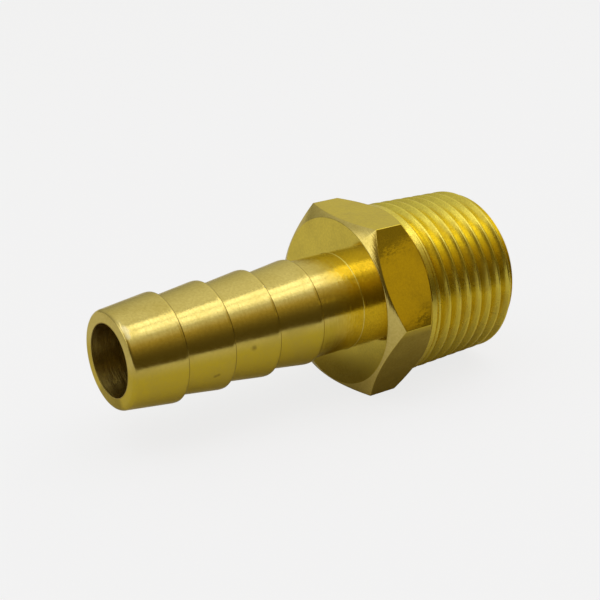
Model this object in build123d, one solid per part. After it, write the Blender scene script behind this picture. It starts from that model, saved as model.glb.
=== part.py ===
"""Brass hose tail: a barbed spigot, a hexagon and a taper pipe thread, turned from one bar.

The fitting lies on one flat of its hexagon. Its axis runs along X, from the hose mouth to the
thread's end face, half the hexagon's width above Z = 0, and X = 0 is the middle of its length.
"""
import os
from math import atan, atan2, cos, degrees, pi, radians, tan

from build123d import *

# Hose end, for a hose of 3/8 inch (9.5 mm) bore
bore_diameter = 6.7
barb_count = 4
barb_root_diameter = 9.0
barb_crest_diameter = 10.15
first_barb_length = 5.15
barb_pitch = 4.8
barb_land = 0.35
mouth_round = 0.35
neck_diameter = 9.5
neck_length = 4.85
neck_fillet = 0.35

# Spanner hexagon
hexagon_across_flats = 17.0
hexagon_length = 5.3
front_face_inset = 0.3
front_chamfer_angle = 30.0
rear_face_inset = 0.12
rear_chamfer_angle = 45.0

# Taper pipe thread R 3/8: 19 threads to the inch, 55 degree flanks, 1 in 16 on the diameter.
# The gauge diameter is met one gauge length back from the end face.
thread_length = 11.5
thread_pitch = 25.4 / 19
thread_gauge_diameter = 16.662
thread_gauge_length = 6.4
thread_depth = 0.856
thread_root_width = 0.2
thread_flank_angle = 55.0
thread_taper = 1 / 16
thread_collar = 0.5
run_out_turns = 0.5
end_chamfer = 0.95

# How far a cutting shape stands clear of the metal that it cuts
cutter_clearance = 0.3

# Places along the axis, measured from the hose mouth
last_shoulder = first_barb_length + (barb_count - 1) * barb_pitch
hexagon_front = last_shoulder + neck_length
hexagon_rear = hexagon_front + hexagon_length
overall_length = hexagon_rear + thread_length
gauge_plane = overall_length - thread_gauge_length
run_out_end = hexagon_rear + thread_collar
full_thread_end = run_out_end + run_out_turns * thread_pitch


def crest_radius(x):
    """Radius over the thread's crests, at x from the hose mouth."""
    return thread_gauge_diameter / 2 + (gauge_plane - x) * thread_taper / 2


def turned(*edges):
    """Solid turned about X from the edges of a closed half profile."""
    return revolve(make_face(Curve() + list(edges)), Axis.X)


def spigot():
    """Barbs and plain neck, from the hose mouth to the hexagon's front face."""
    root = barb_root_diameter / 2
    crest = barb_crest_diameter / 2
    neck = neck_diameter / 2
    outline = [(mouth_round, root)]
    for barb in range(barb_count):
        shoulder = first_barb_length + barb * barb_pitch
        foot = neck if barb == barb_count - 1 else root
        outline += [(shoulder - barb_land, crest), (shoulder, crest), (shoulder, foot)]
    outline += [(hexagon_front - neck_fillet, neck)]
    mouth_edge = (0, root - mouth_round)
    fillet_edge = (hexagon_front, neck + neck_fillet)
    return turned(
        TangentArc(mouth_edge, outline[0], tangent=(0, 1)),
        Polyline(*outline),
        TangentArc(outline[-1], fillet_edge, tangent=(1, 0)),
        Polyline(fillet_edge, (hexagon_front, 0), (0, 0), mouth_edge),
    )


def hexagon():
    """Spanner hexagon, its corners chamfered in the lathe at both faces."""
    flat = hexagon_across_flats / 2
    rim = flat / cos(pi / 6) + cutter_clearance
    front = flat - front_face_inset
    rear = flat - rear_face_inset
    front_run = (rim - front) * tan(radians(front_chamfer_angle))
    rear_run = (rim - rear) * tan(radians(rear_chamfer_angle))
    envelope = turned(
        Polyline(
            (hexagon_front, 0),
            (hexagon_front, front),
            (hexagon_front + front_run, rim),
            (hexagon_rear - rear_run, rim),
            (hexagon_rear, rear),
            (hexagon_rear, 0),
            close=True,
        )
    )
    bar = Plane.YZ.offset(hexagon_front) * RegularPolygon(flat, 6, major_radius=False)
    return envelope & extrude(bar, hexagon_length)


def thread_blank():
    """Plain taper that the thread is cut in, chamfered at its end face."""
    chamfer_start = overall_length - end_chamfer
    return turned(
        Polyline(
            (hexagon_rear, 0),
            (hexagon_rear, crest_radius(hexagon_rear)),
            (chamfer_start, crest_radius(chamfer_start)),
            (overall_length, crest_radius(chamfer_start) - end_chamfer),
            (overall_length, 0),
            close=True,
        )
    )


def groove(towards, length, climb):
    """V groove cut along a right-hand helix from the place where the full thread ends.

    It runs towards +X (1) or -X (-1) over a length of the axis, while its root climbs outwards.
    Every groove starts in the XZ plane, above the axis, so that two of them join there.
    """
    root_radius = crest_radius(full_thread_end) - thread_depth
    cone_angle = atan(climb / length)
    helix = Helix(
        thread_pitch / cos(cone_angle),
        length,
        root_radius,
        center=(full_thread_end, 0, 0),
        direction=(towards, 0, 0),
        cone_angle=degrees(cone_angle),
    )
    start = helix @ 0
    outwards = Vector(0, start.Y, start.Z).normalized()
    height = thread_depth + cutter_clearance
    root = thread_root_width / 2
    top = root + height * tan(radians(thread_flank_angle / 2))
    axial_plane = Plane(start, x_dir=outwards, z_dir=outwards.cross(Vector(1, 0, 0)))
    section = Polygon((0, -root), (height, -top), (height, top), (0, root), align=None)
    cut = sweep(axial_plane * section, helix, is_frenet=True)
    return Rot(X=90 - degrees(atan2(start.Z, start.Y))) * cut


def thread_grooves():
    """Full thread as far as the open end, and the run-out that fades into the collar."""
    full_length = overall_length + thread_pitch - full_thread_end
    full_climb = -full_length * thread_taper / 2
    run_out_length = run_out_turns * thread_pitch
    run_out_climb = thread_depth + cutter_clearance
    return [groove(1, full_length, full_climb), groove(-1, run_out_length, run_out_climb)]


def bore():
    """Waterway, right through the fitting."""
    return extrude(Plane.YZ * Circle(bore_diameter / 2), overall_length)


hose_tail = spigot() + hexagon() + thread_blank()
for cut in [*thread_grooves(), bore()]:
    hose_tail -= cut
hose_tail = Pos(-overall_length / 2, 0, hexagon_across_flats / 2) * hose_tail

os.makedirs("parts", exist_ok=True)
export_step(hose_tail, "parts/hose_tail.step")
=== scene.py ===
"""Looks of the brass hose tail: its turned surfaces, softened edges, finish, floor and light."""
from math import cos, pi, radians, tan

import bpy
from mathutils import Matrix, Vector


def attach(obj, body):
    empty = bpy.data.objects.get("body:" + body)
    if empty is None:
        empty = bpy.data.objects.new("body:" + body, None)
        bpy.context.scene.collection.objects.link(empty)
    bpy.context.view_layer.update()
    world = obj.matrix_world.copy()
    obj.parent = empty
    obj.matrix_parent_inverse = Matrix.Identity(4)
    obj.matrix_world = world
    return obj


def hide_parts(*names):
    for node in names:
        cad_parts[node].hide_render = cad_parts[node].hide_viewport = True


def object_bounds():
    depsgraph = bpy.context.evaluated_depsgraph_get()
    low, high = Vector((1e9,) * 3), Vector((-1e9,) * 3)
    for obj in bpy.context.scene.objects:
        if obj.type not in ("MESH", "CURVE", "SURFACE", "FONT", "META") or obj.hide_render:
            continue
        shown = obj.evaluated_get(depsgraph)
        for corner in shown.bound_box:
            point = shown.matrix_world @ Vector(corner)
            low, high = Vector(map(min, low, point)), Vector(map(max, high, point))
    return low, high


mm = 0.001

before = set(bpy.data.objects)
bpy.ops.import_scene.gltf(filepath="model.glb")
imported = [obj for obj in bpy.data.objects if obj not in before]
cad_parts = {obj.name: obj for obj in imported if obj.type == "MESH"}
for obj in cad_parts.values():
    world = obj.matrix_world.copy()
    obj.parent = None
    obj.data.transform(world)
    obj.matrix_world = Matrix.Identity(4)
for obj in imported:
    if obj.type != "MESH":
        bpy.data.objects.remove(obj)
cad_low, cad_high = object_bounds()
bpy.ops.object.select_all(action="DESELECT")

# Hose end
bore_radius = 3.35 * mm
barb_count = 4
barb_root = 4.5 * mm
barb_crest = 5.075 * mm
first_barb_length = 5.15 * mm
barb_pitch = 4.8 * mm
barb_land = 0.35 * mm
mouth_round = 0.35 * mm
neck_radius = 4.75 * mm
neck_length = 4.85 * mm
neck_fillet = 0.1 * mm

# Spanner hexagon
hexagon_length = 5.3 * mm
front_face_inset = 0.3 * mm
front_chamfer_angle = radians(30)
rear_face_inset = 0.12 * mm
rear_chamfer_angle = radians(45)

# Taper pipe thread
thread_pitch = 25.4 / 19 * mm
thread_gauge_radius = 8.331 * mm
thread_gauge_length = 6.4 * mm
thread_depth = 0.856 * mm
thread_root_width = 0.2 * mm
thread_half_angle = radians(27.5)
thread_slope = 1 / 32
thread_collar = 0.5 * mm
end_chamfer = 0.95 * mm

# Softened edges
crisp_edge = 0.04 * mm
hexagon_edge = 0.07 * mm
thread_edge = 0.06 * mm
shoulder_edge = 0.1 * mm

# How far pieces reach into each other before they are joined, and cutters stand clear of the metal
neck_overlap = 1 * mm
thread_overlap = 0.2 * mm
cutter_clearance = 1 * mm

# Turns of thread made beyond each end of its length, and trimmed off again
spare_turns = 4

# Fineness of the turned meshes
steps_around = 192
thread_steps = 128
round_steps = 5
hexagon_edge_steps = 3
crisp_edge_steps = 2
crisp_edge_angle = radians(30)
smooth_angle = radians(28)
merge_distance = 0.001 * mm

# Tones of the brass, by surface
turned_tone = (0.80, 0.64, 0.18, 1)
flat_tone = (0.78, 0.60, 0.055, 1)
face_tone = (0.88, 0.69, 0.10, 1)
thread_tone = (0.95, 0.79, 0.11, 1)
# Painted light: a brighter, paler tone on the neck near the hexagon, against the hexagon's shade
neck_painted_light_tone = (0.96, 0.80, 0.18, 1)
# Painted shade: a darker tone inside the bore
bore_shade_tone = (0.42, 0.30, 0.08, 1)
edge_tone = (1, 0.95, 0.68, 1)

# Tones of painted shade on the undersides, painted contact shadow, worn brass, painted shade at the
# barbs' shoulders, pits, and nicks with painted highlights on the mouth's rim, and how strongly
# they cover it
underside_shade_tone = (0.68, 0.50, 0.035, 1)
contact_shadow_tone = (0.34, 0.235, 0.02, 1)
worn_tone = (0.56, 0.42, 0.07, 1)
shoulder_shade_tone = (0.25, 0.18, 0.03, 1)
pit_tone = (0.16, 0.10, 0.02, 1)
nick_and_rim_highlight_tone = (0.95, 0.88, 0.5, 1)
thread_underside_shade = 0.6
worn_share = 0.3
grain_share = 0.3
shoulder_shade_share = 0.7
pit_share = 0.6
nick_and_rim_highlight_share = 0.6

# Borders between one finish and the next; the stretch of neck near the hexagon, which gets painted
# light and deeper ring marks; and the painted shade at the barbs' shoulders
finish_border = 0.01 * mm
face_skin = 0.006 * mm
bore_skin = 0.1 * mm
near_face_start = 4 * mm
near_face_full = 1 * mm
shoulder_shade_width = 0.12 * mm
shoulder_shade_start = 0.13 * mm
shoulder_shade_full = 0.1 * mm

# Where the painted shade on the undersides and the painted contact shadow on the spigot begin and
# where they are full, as the sine of the angle about the axis
underside_shade_span = (0.3, -0.1)
spigot_contact_shadow_span = (-0.8, -0.93)

# Where the painted contact shadow on the flats and on the face begins and where it is full, as
# heights above the floor
flat_contact_shadow_heights = (8.6 * mm, 7.4 * mm)
face_contact_shadow_heights = (5.5 * mm, 1.5 * mm)

# Scales of the patterns, in repeats to the metre, and the part of their range that shows
patch_scale = 400
grain_scale = 4500
ring_scales = (22000, 300, 300)
line_scales = (300, 6000, 6000)
worn_range = (0.4, 0.75)
grain_range = (0.3, 0.7)
rim_highlight_range = (0.15, 0.7)

# Roughness of the polished skin, and what each surface adds to it
polished_roughness = 0.06
turned_roughness = 0.06
thread_roughness = 0.12
bore_roughness = 0.2
worn_roughness = 0.08
mark_roughness = 0.25

# Relief of the skin
ring_height = 0.012 * mm
bore_ring_gain = 2
neck_ring_gain = 0.5
line_height = 0.001 * mm
swell_height = 0.02 * mm
grain_height = 0.0012 * mm
pit_depth = 0.02 * mm
nick_depth = 0.03 * mm

# Small marks on the skin, and painted highlights along the mouth's rounded rim: (place, size)
pit_places = [
    (Vector((-12.6, -4.5, 6.6)) * mm, 0.28 * mm),
    (Vector((-12.3, -4.53, 6.7)) * mm, 0.28 * mm),
    (Vector((-8.65, -4.76, 8.45)) * mm, 0.4 * mm),
]
nick_places = [
    (Vector((-5.9, -2.42, 12.96)) * mm, 0.2 * mm),
    (Vector((17.98, -5.64, 2.55)) * mm, 0.3 * mm),
    (Vector((17.32, -6.63, 13.3)) * mm, 0.12 * mm),
]
# Painted highlights along the mouth's rounded rim
rim_highlight_places = [
    (Vector((-20.3, -1.6, 12.6)) * mm, 0.5 * mm),
    (Vector((-20.3, -2.1, 12.35)) * mm, 0.6 * mm),
    (Vector((-20.2, -2.6, 12.1)) * mm, 0.7 * mm),
    (Vector((-20.3, -3.1, 11.75)) * mm, 0.5 * mm),
]

# Floor, and how far along Y its image in the metal fades into the dark room in front
floor_size = 4
floor_tone = (0.75, 0.75, 0.75, 1)
floor_glow = 0.99
front_gloom = (-0.055, -0.09)
gloom_glow = 0.08

# Share of the even pale tone that no shadow reaches, as seen and as mirrored in the metal
floor_evenness = 0.8
mirrored_evenness = 0.05
backdrop_glow = 0.87

# Tints of the light
white = (1, 1, 1, 1)
panel_tint = (1, 1, 1.2)
side_tint = (1, 0.75, 0.1)
warm_room = (1, 0.76, 0.2, 1)

# Radiance of the room in front, which grows with the cube of the height
front_dimmest = 0.035
front_growth = 1.22
front_brightest = 0.57

# Radiance of the wall behind, which grows with the height and towards the right
wall_dimmest = 0.25
wall_growth = 0.5
wall_right_gain = 0.18

# Directions, as cosines, between which one part of the room gives way to the next
towards_back = (0.02, 0.12)
towards_right = (0.3, 0.6)
towards_left = (0.7, 0.9)
above_horizon = (0, 0.3)
towards_ceiling = (0.6, 0.85)

# Ceiling panels: (name, X, Y, length). Strips of each one: (offset along Y, width, radiance)
panel_height = 0.4
panels = [
    ("panel_right", 0.32, -0.052, 0.24),
    ("panel_middle", 0.1, -0.118, 0.2),
    ("panel_left", -0.25, -0.02, 0.3),
]
panel_strips = [(0.075, 0.08, 1.15), (-0.02, 0.08, 1.05), (-0.09, 0.06, 0.5)]

# Small card that shows in the hexagon's upper front flat
side_card_place = (0.0542, -0.0592, 0.0455)
side_card_target = (0.0055, -0.0075, 0.012)
side_card_size = (0.018, 0.011)
side_card_radiance = 0.27

# Camera
camera_lens = 77.68
camera_place = (-66.9, -92.24, 55.56)
camera_forward = (0.5429, 0.7515, -0.3749)
camera_right = (0.8127, -0.5827, 0.0089)

# Places along the axis, which lies along X at half the hexagon's width above the floor
mouth = cad_low.x
thread_end = cad_high.x
hexagon_flat = (cad_high.z - cad_low.z) / 2
last_shoulder = mouth + first_barb_length + (barb_count - 1) * barb_pitch
hexagon_front = last_shoulder + neck_length
hexagon_rear = hexagon_front + hexagon_length
gauge_plane = thread_end - thread_gauge_length
hexagon_corner = hexagon_flat / cos(pi / 6)


def crest_radius(x):
    """Radius over the thread's crests."""
    return thread_gauge_radius + (gauge_plane - x) * thread_slope


def deselect():
    bpy.ops.object.select_all(action="DESELECT")


def activate(piece):
    """Makes one piece the selected and active one."""
    deselect()
    piece.select_set(True)
    bpy.context.view_layer.objects.active = piece


def half_profile(name, points):
    """Line of edges through (place along the axis, radius) points, left open in edit mode."""
    places = [Vector((x, 0, radius)) for x, radius in points]
    deselect()
    bpy.ops.mesh.primitive_plane_add(size=mm)
    piece = bpy.context.object
    piece.name = name
    bpy.ops.object.mode_set(mode="EDIT")
    bpy.ops.mesh.select_mode(type="VERT")
    bpy.ops.mesh.merge(type="CENTER")
    bpy.ops.transform.translate(value=places[0])
    for here, there in zip(places, places[1:]):
        bpy.ops.mesh.extrude_region_move(TRANSFORM_OT_translate={"value": there - here})
    return piece


def select_vertices(piece, test):
    """Selects the vertices whose place passes a test, in edit mode."""
    bpy.ops.mesh.select_all(action="DESELECT")
    bpy.ops.object.mode_set(mode="OBJECT")
    for vertex in piece.data.vertices:
        vertex.select = test(vertex.co)
    bpy.ops.object.mode_set(mode="EDIT")


def select_edges(piece, test):
    """Selects the edges whose two ends pass a test, in edit mode."""
    bpy.ops.mesh.select_mode(type="EDGE")
    bpy.ops.mesh.select_all(action="DESELECT")
    bpy.ops.object.mode_set(mode="OBJECT")
    for edge in piece.data.edges:
        a, b = (piece.data.vertices[i].co for i in edge.vertices)
        edge.select = test(a, b)
    bpy.ops.object.mode_set(mode="EDIT")


def round_corners(piece, corners, radius):
    """Rounds the corners of a half profile that lie at the given points."""
    places = [Vector((x, 0, r)) for x, r in corners]
    select_vertices(piece, lambda co: any((co - p).length < merge_distance for p in places))
    bpy.ops.mesh.bevel(offset=radius, segments=round_steps, affect="VERTICES")


def tidy_mesh(piece):
    """Merges doubles and turns the faces outwards, then leaves edit mode."""
    bpy.ops.mesh.select_all(action="SELECT")
    bpy.ops.mesh.remove_doubles(threshold=merge_distance)
    bpy.ops.mesh.normals_make_consistent(inside=False)
    bpy.ops.object.mode_set(mode="OBJECT")


def spin(piece):
    """Turns a half profile into a closed solid about the axis."""
    bpy.ops.mesh.select_all(action="SELECT")
    bpy.ops.mesh.spin(steps=steps_around, angle=2 * pi, center=(0, 0, 0), axis=(1, 0, 0))
    tidy_mesh(piece)


def finish_modifier(piece, kind, **settings):
    """Adds a modifier and applies it."""
    modifier = piece.modifiers.new(kind.lower(), kind)
    for key, value in settings.items():
        setattr(modifier, key, value)
    activate(piece)
    bpy.ops.object.modifier_apply(modifier=modifier.name)


def cut_by(piece, tool, operation):
    """Combines a piece with a tool piece, which is used up."""
    finish_modifier(piece, "BOOLEAN", object=tool, operation=operation, solver="EXACT")
    bpy.data.objects.remove(tool)


def spigot():
    """Barbs and plain neck, which reaches a little way into the hexagon."""
    corner = (mouth, barb_root)
    foot = (hexagon_front + crisp_edge / 4, neck_radius)
    crests = []
    outline = [(mouth, bore_radius), corner]
    for barb in range(barb_count):
        shoulder = mouth + first_barb_length + barb * barb_pitch
        below = neck_radius if barb == barb_count - 1 else barb_root
        crests += [(shoulder - barb_land, barb_crest), (shoulder, barb_crest)]
        outline += [*crests[-2:], (shoulder, below)]
    buried = (hexagon_front + neck_overlap, neck_radius + neck_fillet)
    outline += [foot, (foot[0], buried[1]), buried, (buried[0], bore_radius), outline[0]]
    piece = half_profile("spigot", outline)
    round_corners(piece, [corner], mouth_round)
    round_corners(piece, [foot], neck_fillet)
    round_corners(piece, crests[::2], crisp_edge)
    round_corners(piece, crests[1::2], shoulder_edge)
    spin(piece)
    return piece


def hexagon():
    """Spanner hexagon with its corners chamfered in the lathe."""
    deselect()
    middle = (hexagon_front + hexagon_rear) / 2
    bpy.ops.mesh.primitive_cylinder_add(
        vertices=6, radius=hexagon_corner, depth=hexagon_length, rotation=(0, pi / 2, 0)
    )
    piece = bpy.context.object
    piece.name = "hexagon"
    bpy.ops.object.transform_apply(location=False, rotation=True, scale=False)
    bpy.ops.object.mode_set(mode="EDIT")
    bpy.ops.mesh.select_all(action="SELECT")
    bpy.ops.transform.translate(value=(middle, 0, 0))
    select_edges(piece, lambda a, b: abs(a.x - b.x) > hexagon_length / 2)
    bpy.ops.mesh.bevel(offset=hexagon_edge, segments=hexagon_edge_steps, affect="EDGES")
    bpy.ops.object.mode_set(mode="OBJECT")
    rim = hexagon_corner + cutter_clearance
    front = hexagon_flat - front_face_inset
    rear = hexagon_flat - rear_face_inset
    front_run = (rim - front) * tan(front_chamfer_angle)
    rear_run = (rim - rear) * tan(rear_chamfer_angle)
    envelope = half_profile(
        "envelope",
        [
            (hexagon_front, bore_radius),
            (hexagon_front, front),
            (hexagon_front + front_run, rim),
            (hexagon_rear - rear_run, rim),
            (hexagon_rear, rear),
            (hexagon_rear, bore_radius),
            (hexagon_front, bore_radius),
        ],
    )
    round_corners(envelope, [(hexagon_front, front), (hexagon_rear, rear)], crisp_edge)
    spin(envelope)
    cut_by(piece, envelope, "INTERSECT")
    finish_modifier(
        piece,
        "BEVEL",
        width=crisp_edge,
        segments=crisp_edge_steps,
        limit_method="ANGLE",
        angle_limit=crisp_edge_angle,
    )
    return piece


def threaded_rod():
    """Solid rod that carries the taper thread, longer than the thread at both ends."""
    start = hexagon_rear - spare_turns * thread_pitch
    turns = round((thread_end - hexagon_rear) / thread_pitch) + 2 * spare_turns
    crest = crest_radius(0)
    depth = thread_depth * crest / thread_gauge_radius
    flank = depth * tan(thread_half_angle)
    crest_width = thread_pitch - thread_root_width - 2 * flank
    outline = [(start, crest - depth)]
    for run, rise in ((flank, depth), (crest_width, 0), (flank, -depth), (thread_root_width, 0)):
        outline.append((outline[-1][0] + run, outline[-1][1] + rise))
    piece = half_profile("thread", outline)
    round_corners(piece, outline[1:4], thread_edge)
    bpy.ops.object.mode_set(mode="OBJECT")
    finish_modifier(
        piece,
        "SCREW",
        axis="X",
        angle=2 * pi,
        screw_offset=thread_pitch,
        iterations=turns,
        steps=thread_steps,
        render_steps=thread_steps,
        use_merge_vertices=True,
        merge_threshold=merge_distance,
    )
    low = min(v.co.x for v in piece.data.vertices)
    high = max(v.co.x for v in piece.data.vertices)
    finish_modifier(
        piece,
        "SIMPLE_DEFORM",
        deform_method="TAPER",
        deform_axis="X",
        factor=-thread_slope / crest * (high - low),
    )
    activate(piece)
    bpy.ops.object.mode_set(mode="EDIT")
    for plane, outer in ((hexagon_rear - thread_pitch, False), (thread_end + thread_pitch, True)):
        bpy.ops.mesh.select_all(action="SELECT")
        bpy.ops.mesh.bisect(
            plane_co=(plane, 0, 0),
            plane_no=(1, 0, 0),
            use_fill=True,
            clear_inner=not outer,
            clear_outer=outer,
        )
    tidy_mesh(piece)
    return piece


def thread():
    """Taper thread with flat crests and roots, chamfered at its end, with a collar at its start."""
    piece = threaded_rod()
    buried = hexagon_rear - thread_overlap
    chamfer_start = thread_end - end_chamfer
    rim = crest_radius(chamfer_start) + cutter_clearance
    envelope = half_profile(
        "envelope",
        [
            (buried, bore_radius),
            (buried, rim),
            (chamfer_start - cutter_clearance, rim),
            (thread_end, crest_radius(chamfer_start) - end_chamfer),
            (thread_end, bore_radius),
            (buried, bore_radius),
        ],
    )
    spin(envelope)
    cut_by(piece, envelope, "INTERSECT")
    # The collar's inner faces lie within the metal, and none of them in the plane of another face
    collar_start = hexagon_rear - thread_overlap / 2
    collar_end = hexagon_rear + thread_collar
    collar_inside = bore_radius + cutter_clearance
    deep = crest_radius(collar_end) - thread_depth - thread_edge
    collar = half_profile(
        "collar",
        [
            (collar_start, collar_inside),
            (collar_start, crest_radius(hexagon_rear)),
            (collar_end, crest_radius(collar_end)),
            (collar_end + thread_pitch, deep),
            (collar_end + thread_pitch, collar_inside),
            (collar_start, collar_inside),
        ],
    )
    spin(collar)
    cut_by(piece, collar, "UNION")
    return piece


def fitting():
    """The whole fitting as one closed skin, lying on a flat of its hexagon."""
    body = spigot()
    cut_by(body, hexagon(), "UNION")
    cut_by(body, thread(), "UNION")
    activate(body)
    body.name = "turned_fitting"
    body.data.name = "turned_fitting"
    bpy.ops.object.mode_set(mode="EDIT")
    bpy.ops.mesh.select_all(action="SELECT")
    bpy.ops.transform.translate(value=(0, 0, hexagon_flat))
    tidy_mesh(body)
    bpy.ops.object.shade_smooth_by_angle(angle=smooth_angle)
    finish_modifier(body, "WEIGHTED_NORMAL", keep_sharp=True)
    return body


class Socket:
    """Output of a node, so that shader maths is written as Python expressions."""

    def __init__(self, nodes, output):
        self.nodes, self.output = nodes, output

    def maths(self, operation, *others):
        return self.nodes.add("ShaderNodeMath", {"operation": operation}, [self, *others])

    def __add__(self, other):
        return self.maths("ADD", other)

    __radd__ = __add__

    def __sub__(self, other):
        return self.maths("SUBTRACT", other)

    def __rsub__(self, other):
        return self.nodes.add("ShaderNodeMath", {"operation": "SUBTRACT"}, [other, self])

    def __mul__(self, other):
        return self.maths("MULTIPLY", other)

    __rmul__ = __mul__

    def __truediv__(self, other):
        return self.maths("DIVIDE", other)

    def __pow__(self, other):
        return self.maths("POWER", other)

    def ramp(self, low, high):
        """0 at low, 1 at high, eased between them."""
        settings = {"interpolation_type": "SMOOTHSTEP"}
        return self.nodes.add("ShaderNodeMapRange", settings, {0: self, 1: low, 2: high})


class Nodes:
    """Node tree of a material or of the world."""

    def __init__(self, owner):
        owner.use_nodes = True
        self.tree = owner.node_tree

    def add(self, kind, settings=None, inputs=(), output=0):
        """A new node with its settings, its socket values or links, and one of its outputs."""
        node = self.tree.nodes.new(kind)
        for key, value in (settings or {}).items():
            setattr(node, key, value)
        pairs = inputs.items() if isinstance(inputs, dict) else enumerate(inputs)
        for key, value in pairs:
            if isinstance(value, Socket):
                self.tree.links.new(value.output, node.inputs[key])
            else:
                node.inputs[key].default_value = value
        return Socket(self, node.outputs[output])

    def link(self, socket, node_name, key):
        self.tree.links.new(socket.output, self.tree.nodes[node_name].inputs[key])

    def set_socket(self, node_name, key, value):
        self.tree.nodes[node_name].inputs[key].default_value = value

    def split(self, vector):
        """The three numbers of a vector."""
        return [self.add("ShaderNodeSeparateXYZ", inputs=[vector], output=n) for n in range(3)]

    def noise(self, place, scale, detail):
        inputs = {"Vector": place, "Scale": scale, "Detail": detail}
        return self.add("ShaderNodeTexNoise", inputs=inputs)

    def stretched_noise(self, place, scales, detail):
        """Noise with a scale of its own along each axis."""
        stretched = self.add("ShaderNodeMapping", inputs={"Vector": place, "Scale": scales})
        return self.noise(stretched, 1, detail)

    def mix(self, share, first, second):
        """Blend of two colours."""
        settings = {"data_type": "RGBA"}
        return self.add("ShaderNodeMix", settings, {0: share, 6: first, 7: second}, output=2)

    def dent(self, place, centre, size):
        """1 at the middle of a small round mark on the skin, 0 away from it."""
        settings = {"operation": "DISTANCE"}
        away = self.add("ShaderNodeVectorMath", settings, [place, centre], output="Value")
        return away.ramp(size, 0)

    def seen_directly(self):
        """1 for what the camera sees, 0 for light."""
        return self.add("ShaderNodeLightPath", output="Is Camera Ray")

    def seen_in_metal(self):
        """1 for what is mirrored or seen through a clear surface."""
        mirrored = self.add("ShaderNodeLightPath", output="Is Glossy Ray")
        return mirrored + self.add("ShaderNodeLightPath", output="Is Transmission Ray")


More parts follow.
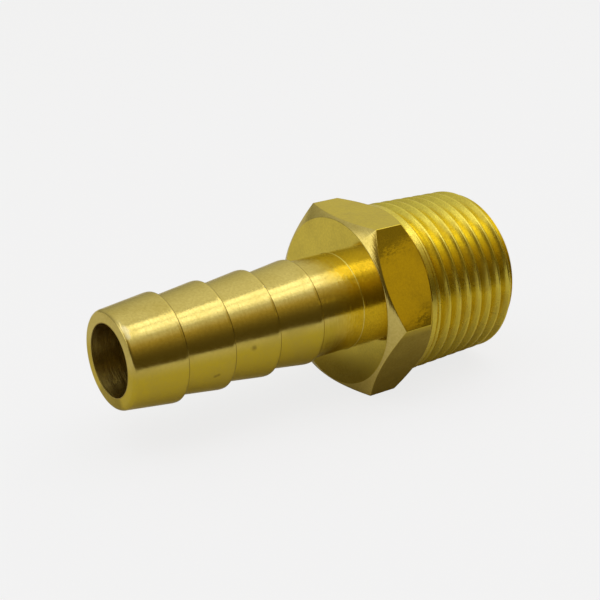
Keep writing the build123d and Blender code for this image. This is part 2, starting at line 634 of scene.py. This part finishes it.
def brass():
    """Machined brass: ring marks where it was turned, lengthwise ones on the drawn bar's flats."""
    material = bpy.data.materials.new("turned_brass")
    nodes = Nodes(material)
    shader = "Principled BSDF"
    place = nodes.add("ShaderNodeTexCoord", output="Object")
    x, y, z = nodes.split(place)
    up = z - hexagon_flat
    radius = (y * y + up * up) ** 0.5

    # Surfaces of the fitting
    in_bore = radius.ramp(bore_radius + bore_skin, bore_radius + bore_skin / 2)
    past_front = x.ramp(hexagon_front - face_skin, hexagon_front - face_skin / 2)
    in_thread = x.ramp(hexagon_rear - finish_border, hexagon_rear)
    on_spigot = 1 - past_front
    on_face = past_front * x.ramp(hexagon_front + 3 * finish_border, hexagon_front + finish_border)
    cone_radius = (x - hexagon_front) / tan(front_chamfer_angle) + (hexagon_flat - front_face_inset)
    on_chamfer = (radius - cone_radius).ramp(-3 * finish_border, -finish_border)
    on_flat = (past_front - in_thread) * (1 - on_chamfer) * (1 - on_face)
    turned = 1 - on_flat - on_face
    near_face = x.ramp(hexagon_front - near_face_start, hexagon_front - near_face_full) * on_spigot

    # Painted shade: darker, more saturated undersides, and painted contact shadow low on the flats,
    # on the face and under the spigot
    lowness = up / radius
    painted_underside_shade = lowness.ramp(*underside_shade_span) * (on_spigot + thread_underside_shade * in_thread + on_flat)
    flat_contact_shadow = on_flat * z.ramp(*flat_contact_shadow_heights)
    painted_contact_shadow = flat_contact_shadow.maths("MAXIMUM", on_face * z.ramp(*face_contact_shadow_heights))
    painted_contact_shadow = painted_contact_shadow + on_spigot * lowness.ramp(*spigot_contact_shadow_span)

    # Painted shade: dark lines at the barbs' shoulders
    shoulder_shade_part = shoulder_shade_width / barb_pitch
    barbs_passed = (x - (mouth + first_barb_length) + shoulder_shade_width) / barb_pitch
    shoulder_shade = barbs_passed.maths("FRACT").ramp(shoulder_shade_part, shoulder_shade_part / 2)
    shoulder_shade = shoulder_shade * radius.ramp(barb_crest - shoulder_shade_start, barb_crest - shoulder_shade_full) * on_spigot

    # Patterns, single marks, and painted highlights along the mouth's rim
    patches = nodes.noise(place, patch_scale, 3)
    grain = nodes.noise(place, grain_scale, 3)
    ring_marks = nodes.stretched_noise(place, ring_scales, 2)
    line_marks = nodes.stretched_noise(place, line_scales, 3)
    pits = sum(nodes.dent(place, *pit) for pit in pit_places)
    nicks = sum(nodes.dent(place, *nick) for nick in nick_places)
    rim_highlights = sum(nodes.dent(place, *scuff) for scuff in rim_highlight_places)
    rim_highlights = (rim_highlights * patches).ramp(*rim_highlight_range)
    worn = patches.ramp(*worn_range)

    colour = nodes.mix(on_flat, turned_tone, flat_tone)
    colour = nodes.mix(in_thread, colour, thread_tone)
    colour = nodes.mix(on_face, colour, face_tone)
    # Painted shade on the undersides
    colour = nodes.mix(painted_underside_shade, colour, underside_shade_tone)
    # Painted light on the neck near the hexagon
    colour = nodes.mix(near_face, colour, neck_painted_light_tone)
    # Painted contact shadow near the floor
    colour = nodes.mix(painted_contact_shadow, colour, contact_shadow_tone)
    # Painted shade in the bore
    colour = nodes.mix(in_bore, colour, bore_shade_tone)
    wear = worn_share * worn + grain_share * grain.ramp(*grain_range)
    colour = nodes.mix(wear, colour, worn_tone)
    # Painted shade at the barbs' shoulders
    colour = nodes.mix(shoulder_shade_share * shoulder_shade, colour, shoulder_shade_tone)
    colour = nodes.mix(pit_share * pits, colour, pit_tone)
    # Nicks, and painted highlights along the mouth's rim
    colour = nodes.mix(nick_and_rim_highlight_share * (nicks + rim_highlights), colour, nick_and_rim_highlight_tone)
    nodes.link(colour, shader, "Base Color")

    roughness = polished_roughness + turned_roughness * turned + thread_roughness * in_thread
    roughness = roughness + bore_roughness * in_bore + worn_roughness * worn
    roughness = roughness + mark_roughness * (nicks + rim_highlights)
    nodes.link(roughness, shader, "Roughness")

    ring_gain = 1 + bore_ring_gain * in_bore + neck_ring_gain * near_face
    height = ring_height * ring_marks * turned * ring_gain
    height = height + (line_height * line_marks + swell_height * patches) * on_flat
    height = height + grain_height * grain - pit_depth * pits - nick_depth * nicks
    bump = nodes.add("ShaderNodeBump", inputs={"Strength": 1, "Distance": 1, "Height": height})
    nodes.link(bump, shader, "Normal")
    nodes.set_socket(shader, "Metallic", 1)
    nodes.set_socket(shader, "Specular Tint", edge_tone)
    return material


def pale_floor():
    """Floor of an even pale tone that keeps a soft share of the fitting's shadow."""
    deselect()
    bpy.ops.mesh.primitive_plane_add(size=floor_size)
    floor = bpy.context.object
    floor.name = "floor"
    material = bpy.data.materials.new("pale_floor")
    nodes = Nodes(material)
    lit = nodes.add("ShaderNodeBsdfDiffuse", inputs=[floor_tone])
    even = nodes.add("ShaderNodeEmission", inputs=[white, floor_glow])
    mirrored = nodes.seen_in_metal()
    evenness = floor_evenness * nodes.seen_directly() + mirrored_evenness * mirrored
    surface = nodes.add("ShaderNodeMixShader", inputs=[evenness, lit, even])
    distance = nodes.split(nodes.add("ShaderNodeTexCoord", output="Object"))[1]
    gloom = nodes.add("ShaderNodeEmission", inputs=[warm_room, gloom_glow])
    far_front = mirrored * distance.ramp(*front_gloom)
    surface = nodes.add("ShaderNodeMixShader", inputs=[far_front, surface, gloom])
    nodes.link(surface, "Material Output", "Surface")
    floor.data.materials.append(material)


def studio():
    """Room light: dark in front, growing towards the ceiling, with a pale wall behind."""
    world = bpy.context.scene.world or bpy.data.worlds.new("studio")
    bpy.context.scene.world = world
    nodes = Nodes(world)
    x, y, z = nodes.split(nodes.add("ShaderNodeTexCoord", output="Generated"))
    height = z.maths("MAXIMUM", 0)
    front = (front_dimmest + front_growth * height**3).maths("MINIMUM", front_brightest)
    wall = wall_dimmest + wall_growth * height + wall_right_gain * x.ramp(*towards_right)
    behind = y.ramp(*towards_back)
    left = (0 - x).ramp(*towards_left) * height.ramp(*above_horizon)
    level = front + behind * (wall - front + left)
    neutral = behind.maths("MAXIMUM", height.ramp(*towards_ceiling))
    evenness = nodes.seen_directly() + mirrored_evenness * nodes.seen_in_metal()
    level = level + evenness * (backdrop_glow - level)
    neutral = neutral.maths("MAXIMUM", evenness)
    nodes.link(nodes.mix(neutral, warm_room, white), "Background", "Color")
    nodes.link(level, "Background", "Strength")


def area_light(name, place, target, size, radiance, colour):
    """Rectangular lamp of an even brightness, facing its target."""
    data = bpy.data.lights.new(name, "AREA")
    data.shape = "RECTANGLE"
    data.size, data.size_y = size
    data.energy = radiance * pi * size[0] * size[1]
    data.color = colour
    lamp = bpy.data.objects.new(name, data)
    bpy.context.collection.objects.link(lamp)
    lamp.location = place
    lamp.rotation_euler = (Vector(target) - Vector(place)).to_track_quat("-Z", "Y").to_euler()


def lamps():
    """Ceiling panels made of strips, and the card at the side."""
    for name, x, y, length in panels:
        for strip, (offset, width, radiance) in enumerate(panel_strips):
            place = Vector((x, y + offset, panel_height))
            below = place - Vector((0, 0, 1))
            area_light(f"{name}_{strip}", place, below, (length, width), radiance, panel_tint)
    area_light(
        "side_card",
        side_card_place,
        side_card_target,
        side_card_size,
        side_card_radiance,
        side_tint,
    )


def camera():
    """Camera that looks down on the fitting from the side of its hose end."""
    data = bpy.data.cameras.new("camera")
    data.lens = camera_lens
    data.clip_start = mm
    cam = bpy.data.objects.new("camera", data)
    bpy.context.collection.objects.link(cam)
    forward = Vector(camera_forward).normalized()
    right = Vector(camera_right).normalized()
    up = right.cross(forward)
    turn = Matrix((right, up, -forward)).transposed().to_4x4()
    cam.matrix_world = Matrix.Translation(Vector(camera_place) * mm) @ turn
    bpy.context.scene.camera = cam


piece = fitting()
piece.data.materials.clear()
piece.data.materials.append(brass())
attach(piece, "root")
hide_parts("hose_tail")

pale_floor()
lamps()
camera()
studio()
bpy.context.scene.view_settings.view_transform = "Standard"
